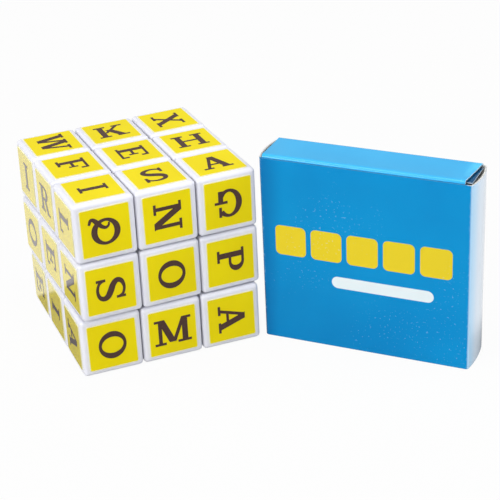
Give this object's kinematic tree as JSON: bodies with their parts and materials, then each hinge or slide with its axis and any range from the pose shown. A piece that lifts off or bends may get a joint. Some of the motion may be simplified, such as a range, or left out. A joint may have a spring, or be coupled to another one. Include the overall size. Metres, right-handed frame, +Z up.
{
  "type": "word dice game",
  "caption": "Letter twist cube of dice whose layers turn on a sprung six-armed core, with a tuck-lid card carton that holds a deck and a leaflet.",
  "frame": {"origin": "centre of the letter cube's base, on the surface that it stands on", "axes": "+Z up; +X towards the cube's right face and the carton; -Y towards the cube's front face"},
  "size_m": [0.1137, 0.1045, 0.0605],
  "materials": {
    "white_plastic": "satin moulded plastic with yellow vinyl stickers",
    "dark_plastic": "plain moulded plastic, hidden inside",
    "bright_steel": "plain steel",
    "blue_card": "gloss-coated printed card",
    "light_blue_card": "gloss-coated printed card",
    "card_stock": "smooth card",
    "white_paper": "matt paper"
  },
  "bodies": {
    "core_and_middle": {"core": "dark_plastic", "screw_up": "bright_steel", "screw_down": "bright_steel", "screw_front": "bright_steel", "screw_back": "bright_steel", "screw_left": "bright_steel", "screw_right": "bright_steel", "spring_up": "bright_steel", "spring_down": "bright_steel", "spring_front": "bright_steel", "spring_back": "bright_steel", "spring_left": "bright_steel", "spring_right": "bright_steel", "centre_front": "white_plastic", "centre_back": "white_plastic", "centre_left": "white_plastic", "centre_right": "white_plastic", "cap_front": "white_plastic", "cap_back": "white_plastic", "cap_left": "white_plastic", "cap_right": "white_plastic", "edge_middle_back_right": "white_plastic", "edge_middle_back_left": "white_plastic", "edge_middle_front_left": "white_plastic", "edge_middle_front_right": "white_plastic"},
    "up_layer": {"centre_up": "white_plastic", "cap_up": "white_plastic", "corner_up_back_right": "white_plastic", "corner_up_back_left": "white_plastic", "corner_up_front_left": "white_plastic", "corner_up_front_right": "white_plastic", "edge_up_back": "white_plastic", "edge_up_left": "white_plastic", "edge_up_front": "white_plastic", "edge_up_right": "white_plastic"},
    "down_layer": {"centre_down": "white_plastic", "cap_down": "white_plastic", "corner_down_back_right": "white_plastic", "corner_down_back_left": "white_plastic", "corner_down_front_left": "white_plastic", "corner_down_front_right": "white_plastic", "edge_down_back": "white_plastic", "edge_down_left": "white_plastic", "edge_down_front": "white_plastic", "edge_down_right": "white_plastic"},
    "carton": {"carton_sleeve": "blue_card", "card_deck": "card_stock", "rules_leaflet": "white_paper"},
    "lid": {"carton_lid": "light_blue_card"},
    "dust_left": {"dust_flap_left": "blue_card"},
    "dust_right": {"dust_flap_right": "blue_card"}
  },
  "joints": [
    {"name": "up_turn", "type": "hinge", "parent": "core_and_middle", "child": "up_layer", "pos_m": [0, 0, 0.0475], "axis": [0, 0, 1], "continuous": true},
    {"name": "down_turn", "type": "hinge", "parent": "core_and_middle", "child": "down_layer", "pos_m": [0, 0, 0.0095], "axis": [0, 0, 1], "continuous": true},
    {"name": "carton_lift", "type": "slide", "parent": "core_and_middle", "child": "carton", "axis": [0, 0, 1], "range_m": [0, 0.1]},
    {"name": "lid_crease", "type": "hinge", "parent": "carton", "child": "lid", "pos_m": [0.04035, -0.01817, 0.0602], "axis": [-0.682, 0.7314, 0], "range_deg": [0, 180]},
    {"name": "dust_left_crease", "type": "hinge", "parent": "carton", "child": "dust_left", "pos_m": [0.03011, -0.02875, 0.05955], "axis": [-0.7314, -0.682, 0], "range_deg": [0, 90]},
    {"name": "dust_right_crease", "type": "hinge", "parent": "carton", "child": "dust_right", "pos_m": [0.07308, -0.07482, 0.05955], "axis": [0.7314, 0.682, 0], "range_deg": [0, 90]}
  ],
  "couplings": [
    {"joint": "dust_left_crease", "follows": "lid_crease", "ratio": 0.5},
    {"joint": "dust_right_crease", "follows": "lid_crease", "ratio": 0.5}
  ]
}
